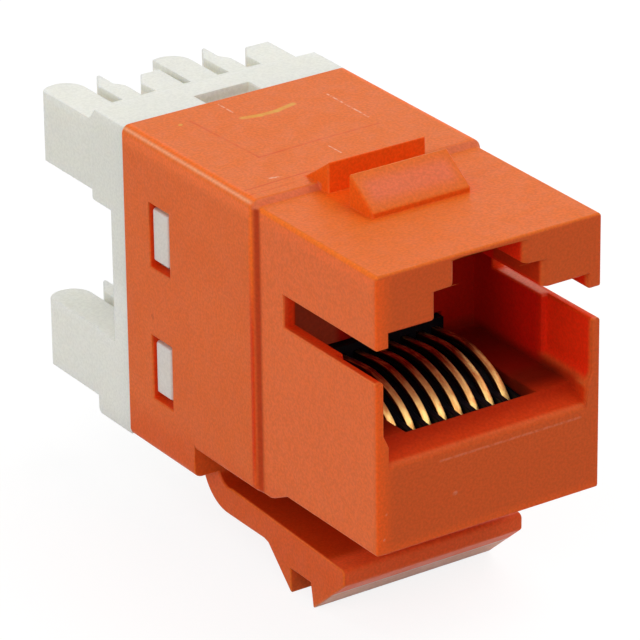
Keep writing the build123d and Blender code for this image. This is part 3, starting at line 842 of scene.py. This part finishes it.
@dataclass
class WireForks:
    """Eight forked plates, one plan repeated by a rule."""

    first_slot: float = -4.64
    slot_pitch: float = 2.09
    pair_pitch: float = 7.1
    upper_level: float = 12.92
    lower_level: float = 1.15
    thickness: float = 0.4
    width: float = 1.7
    neck: float = 0.9
    gap: float = 0.32
    lead: float = 0.35              # how much the mouth widens, each side
    lead_length: float = 0.8
    shoulder: tuple[float, float] = (1.4, 0.8)      # start and end before the crotch
    corner: tuple[float, float] = (0.25, 0.5)       # cut off across and along
    tail: float = 13.1
    crotch: float = 26.3
    mouth: float = 30.9
    finish: Plating = TIN

    def plan(self) -> bpy.types.Curve:
        """Make the closed plan outline of one fork.

        Returns:
            A flat curve, X across and Y towards the mouth.
        """
        half, neck, gap = self.width / 2, self.neck / 2, self.gap / 2
        start, end = (self.crotch - offset for offset in self.shoulder)
        across, along = self.corner
        right = [
            (neck, self.tail), (neck, start), (half, end), (half, self.mouth - along),
            (half - across, self.mouth), (gap + self.lead, self.mouth),
            (gap, self.mouth - self.lead_length), (gap, self.crotch),
        ]
        points = right + [(-x, y) for x, y in reversed(right)]
        curve = bpy.data.curves.new("fork_plan", "CURVE")
        spline = curve.splines.new("POLY")
        spline.points.add(len(points) - 1)
        for point, (x, y) in zip(spline.points, points):
            point.co = (x * MM, y * MM, 0.0, 1.0)
        spline.use_cyclic_u = True
        return curve

    def build(self) -> None:
        """Raise the plan to a plate and set eight of them in their slots."""
        graph = GeometryGraph("fork_rows")
        first = graph.number("First Slot", self.first_slot * MM)
        slot = graph.number("Slot Pitch", self.slot_pitch * MM)
        pair = graph.number("Pair Pitch", self.pair_pitch * MM)
        lower = graph.number("Lower Level", self.lower_level * MM)
        rise = graph.number("Row Pitch", (self.upper_level - self.lower_level) * MM)
        thick = graph.number("Plate Thickness", self.thickness * MM)
        face = graph.add(
            "GeometryNodeFillCurve", {"mode": "NGONS"},
            {"Curve": graph.source.outputs["Geometry"]})
        top = graph.add(
            "GeometryNodeExtrudeMesh", {"mode": "FACES"},
            {"Mesh": face.outputs[0], "Offset": graph.vector(z=1.0), "Offset Scale": thick,
             "Individual": False})
        under = graph.add("GeometryNodeFlipFaces", inputs={"Mesh": face.outputs[0]})
        shell = graph.add("GeometryNodeJoinGeometry")
        graph.tree.links.new(top.outputs[0], shell.inputs[0])
        graph.tree.links.new(under.outputs[0], shell.inputs[0])
        plate = graph.add(
            "GeometryNodeMergeByDistance",
            inputs={"Geometry": shell.outputs[0], "Distance": 1e-6})
        index = graph.add("GeometryNodeInputIndex").outputs[0]
        in_pair = graph.math("MODULO", index, 2.0)
        pair_number = graph.math(
            "MODULO", graph.math("FLOOR", graph.math("DIVIDE", index, 2.0)), 2.0)
        row = graph.math("FLOOR", graph.math("DIVIDE", index, 4.0))
        x = graph.math("ADD", first, graph.math("MULTIPLY", in_pair, slot))
        x = graph.math("ADD", x, graph.math("MULTIPLY", pair_number, pair))
        z = graph.math("ADD", lower, graph.math("MULTIPLY", row, rise))
        z = graph.math("SUBTRACT", z, graph.math("MULTIPLY", thick, 0.5))
        spots = graph.add(
            "GeometryNodeMeshLine", {"mode": "OFFSET"},
            {"Count": 8, "Offset": graph.vector(0.001)})
        placed = graph.add(
            "GeometryNodeSetPosition",
            inputs={"Geometry": spots.outputs[0], "Position": graph.vector(x=x, z=z)})
        copies = graph.add(
            "GeometryNodeInstanceOnPoints",
            inputs={"Points": placed.outputs[0], "Instance": plate.outputs[0]})
        piece = graph.run("wire_fork_rows", self.plan(), copies.outputs[0], self.finish.material())
        nodes = [f"wire_fork_{row}_{i}" for row in ("upper", "lower") for i in range(1, 5)]
        fit(piece, nodes)


@dataclass
class PlugContacts:
    """Eight sprung contacts, one bent strip repeated across the jack."""

    count: int = 8
    pitch: float = 1.04
    width: float = 0.45
    thickness: float = 0.3
    edge: float = 0.06
    floor: float = 5.9
    crest_y: float = 7.3
    crest_rise: float = 0.95
    tip_y: float = 3.1
    tip_drop: float = 1.75
    tail_y: float = 12.5            # just before the board
    tail_end: float = 15.3
    tail_rise: float = 0.3
    first_bend: tuple[float, float] = (1.45, 0.15)  # behind the tip, under the floor
    second_bend: tuple[float, float] = (2.7, 0.33)  # behind the tip, under the crest
    fall: tuple[float, float] = (2.7, 0.2)          # behind the crest, under the crest
    tip_heading: tuple[float, float] = (0.55, 0.83)
    fall_heading: tuple[float, float] = (1.0, -0.08)
    finish: Plating = GOLD

    def path(self) -> bpy.types.Curve:
        """Make the centre line of a strip from its tip to its tail.

        Returns:
            A curve in the plane X = 0.
        """
        crest = self.floor + self.crest_rise - self.thickness / 2
        tail = self.floor + self.tail_rise
        after_crest = (self.crest_y + self.fall[0], crest - self.fall[1])
        front = smooth_line(
            [(self.tip_y, self.floor - self.tip_drop),
             (self.tip_y + self.first_bend[0], self.floor - self.first_bend[1]),
             (self.tip_y + self.second_bend[0], crest - self.second_bend[1]),
             (self.crest_y, crest), after_crest],
            self.tip_heading, self.fall_heading, 14)
        rear = smooth_line(
            [after_crest, (self.tail_y, tail)], self.fall_heading, (1.0, 0.0), 8)
        points = front + rear[1:] + [(self.tail_end, tail)]
        curve = bpy.data.curves.new("contact_path", "CURVE")
        curve.dimensions = "3D"
        spline = curve.splines.new("POLY")
        spline.points.add(len(points) - 1)
        for point, (y, z) in zip(spline.points, points):
            point.co = (0.0, y * MM, z * MM, 1.0)
        return curve

    def build(self) -> None:
        """Sweep the strip and repeat it across the jack."""
        graph = GeometryGraph("contact_row")
        count = graph.number("Count", self.count)
        pitch = graph.number("Pitch", self.pitch * MM)
        width = graph.number("Strip Width", self.width * MM)
        thick = graph.number("Strip Thickness", self.thickness * MM)
        edge = graph.number("Edge Radius", self.edge * MM)
        section = graph.add(
            "GeometryNodeCurvePrimitiveQuadrilateral", inputs={"Width": width, "Height": thick})
        rounded = graph.add(
            "GeometryNodeFilletCurve", {"mode": "POLY"},
            {"Curve": section.outputs[0], "Radius": edge, "Count": 2})
        upright = graph.add(
            "GeometryNodeSetCurveNormal", {"mode": "Z_UP"},
            {"Curve": graph.source.outputs["Geometry"]})
        strip = graph.add(
            "GeometryNodeCurveToMesh",
            inputs={"Curve": upright.outputs[0], "Profile Curve": rounded.outputs[0],
                    "Fill Caps": True})
        half = graph.math("MULTIPLY", graph.math("SUBTRACT", count, 1.0), 0.5)
        first = graph.math("MULTIPLY", graph.math("MULTIPLY", half, pitch), -1.0)
        row = graph.add(
            "GeometryNodeMeshLine", {"mode": "OFFSET"},
            {"Count": count, "Start Location": graph.vector(first),
             "Offset": graph.vector(pitch)})
        copies = graph.add(
            "GeometryNodeInstanceOnPoints",
            inputs={"Points": row.outputs[0], "Instance": strip.outputs[0]})
        piece = graph.run(
            "plug_contact_row", self.path(), copies.outputs[0], self.finish.material())
        fit(piece, [f"spring_contact_{i}" for i in range(1, self.count + 1)])


@dataclass
class Inside:
    """Carrier and circuit board."""

    edge_radius: float = 0.05
    carrier_finish: Moulding = BLACK
    board_finish: Laminate = RESIST

    def build(self) -> None:
        """Ease the carrier's edges and dress the board."""
        piece = eased(
            "contact_carrier", "carrier_moulding", self.edge_radius,
            self.carrier_finish.material())
        fit(piece, ["contact_carrier"])
        dress("circuit_board", self.board_finish.material())


# Stage

@dataclass(frozen=True)
class Lamp:
    """A soft square lamp: its name, place, power in watts and side."""

    name: str
    place: Place
    power: float
    size: float


LAMPS = (
    Lamp("top_softbox", (170, -20, 390), 0.63, 340),
    Lamp("left_softbox", (-420, -60, 160), 0.6, 300),
    Lamp("front_softbox", (-250, -330, 380), 0.52, 300),
    Lamp("right_softbox", (255, -240, 375), 0.32, 240),
    Lamp("rear_softbox", (230, 345, 195), 0.26, 340),
    Lamp("edge_strip", (-200, 380, 250), 0.22, 160),
)


@dataclass
class Studio:
    """Floor, lamps, world and camera."""

    floor_level: float = -7.02
    floor_size: float = 3000.0
    floor_albedo: float = 0.68      # for light that the floor throws on the jack
    seen_albedo: float = 0.22       # what the camera sees of the jack's shadow
    seen_glow: float = 0.85
    camera_place: Place = (-139.76, -193.375, 122.379)
    azimuth: float = -33.715
    elevation: float = 24.844
    roll: float = -0.684
    lens: float = 282.0
    sensor: float = 36.0
    world_light: float = 0.25
    aim: Place = (0, 14, 6)         # the middle of the jack
    lamps: tuple[Lamp, ...] = LAMPS

    def white_to_camera(self, graph: ShaderGraph,
                        shader: bpy.types.NodeSocket) -> bpy.types.NodeSocket:
        """Add white light for rays from the camera, glossy faces and glass.

        Args:
            graph: the graph to build in.
            shader: what other rays see.

        Returns:
            The combined shader.
        """
        path = graph.add("ShaderNodeLightPath").outputs
        seen = graph.math("MAXIMUM", path["Is Camera Ray"], path["Is Glossy Ray"])
        seen = graph.math("MAXIMUM", seen, path["Is Transmission Ray"])
        grey = (*(self.seen_albedo,) * 3, 1)
        veil = graph.add("ShaderNodeBsdfDiffuse", inputs={"Color": grey}).outputs[0]
        lift = graph.add(
            "ShaderNodeEmission",
            inputs={"Color": (1, 1, 1, 1), "Strength": self.seen_glow}).outputs[0]
        both = graph.add("ShaderNodeAddShader", inputs={0: veil, 1: lift}).outputs[0]
        return graph.add(
            "ShaderNodeMixShader", inputs={0: seen, 1: shader, 2: both}).outputs[0]

    def floor(self) -> None:
        """Lay the pale floor just under the latch arm's teeth."""
        mesh = bpy.data.meshes.new("floor")
        half = self.floor_size * MM / 2
        level = self.floor_level * MM
        corners = [(-half, -half, level), (half, -half, level), (half, half, level),
                   (-half, half, level)]
        mesh.from_pydata(corners, [], [(0, 1, 2, 3)])
        graph = ShaderGraph("white_floor")
        grey = (*(self.floor_albedo,) * 3, 1)
        plain = graph.add("ShaderNodeBsdfDiffuse", inputs={"Color": grey}).outputs[0]
        mesh.materials.append(graph.finish(self.white_to_camera(graph, plain)))
        show("floor", mesh)

    def world(self) -> None:
        """White surroundings: soft light for the object, plain white for the camera."""
        world = bpy.data.worlds.new("surroundings")
        world.use_nodes = True
        bpy.context.scene.world = world
        tree = world.node_tree
        tree.nodes.clear()
        path = tree.nodes.new("ShaderNodeLightPath").outputs
        light = tree.nodes.new("ShaderNodeMapRange")
        light.inputs["To Min"].default_value = self.world_light
        light.inputs["To Max"].default_value = 1.0
        seen = tree.nodes.new("ShaderNodeMath")
        seen.operation = "ADD"
        seen.use_clamp = True
        both = tree.nodes.new("ShaderNodeMath")
        both.operation = "ADD"
        tree.links.new(path["Is Camera Ray"], both.inputs[0])
        tree.links.new(path["Is Glossy Ray"], both.inputs[1])
        tree.links.new(both.outputs[0], seen.inputs[0])
        tree.links.new(path["Is Transmission Ray"], seen.inputs[1])
        tree.links.new(seen.outputs[0], light.inputs["Value"])
        background = tree.nodes.new("ShaderNodeBackground")
        background.inputs["Color"].default_value = (1, 1, 1, 1)
        tree.links.new(light.outputs[0], background.inputs["Strength"])
        output = tree.nodes.new("ShaderNodeOutputWorld")
        tree.links.new(background.outputs[0], output.inputs["Surface"])

    def hang(self, lamp: Lamp) -> None:
        """Hang a lamp so that it faces the jack."""
        light = bpy.data.lights.new(lamp.name, "AREA")
        light.energy = lamp.power
        light.size = lamp.size * MM
        item = bpy.data.objects.new(lamp.name, light)
        item.location = Vector(lamp.place) * MM
        way = Vector(self.aim) * MM - item.location
        item.rotation_euler = way.to_track_quat("-Z", "Y").to_euler()
        bpy.context.scene.collection.objects.link(item)

    def camera(self) -> None:
        """Set the camera where the photograph was taken from, with a longer lens."""
        data = bpy.data.cameras.new("camera")
        data.lens = self.lens
        data.sensor_width = self.sensor
        data.clip_start = 0.01
        data.clip_end = 20.0
        item = bpy.data.objects.new("camera", data)
        turn = (
            Matrix.Rotation(math.radians(self.azimuth), 4, "Z")
            @ Matrix.Rotation(math.radians(90 - self.elevation), 4, "X")
            @ Matrix.Rotation(math.radians(self.roll), 4, "Z")
        )
        item.matrix_world = Matrix.Translation(Vector(self.camera_place) * MM) @ turn
        bpy.context.scene.collection.objects.link(item)
        bpy.context.scene.camera = item

    def build(self) -> None:
        """Build floor, world, lamps and camera."""
        self.floor()
        self.world()
        for lamp in self.lamps:
            self.hang(lamp)
        self.camera()
        bpy.context.scene.view_settings.view_transform = "Standard"


def main() -> None:
    """Build the jack and its stage in order."""
    logging.basicConfig(level=logging.INFO, format="%(name)s: %(message)s")
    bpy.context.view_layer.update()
    for part in (Housing(), WireBlock(), WireForks(), PlugContacts(), Inside(), Studio()):
        part.build()
    bpy.context.view_layer.update()


if __name__ == "__main__":
    main()
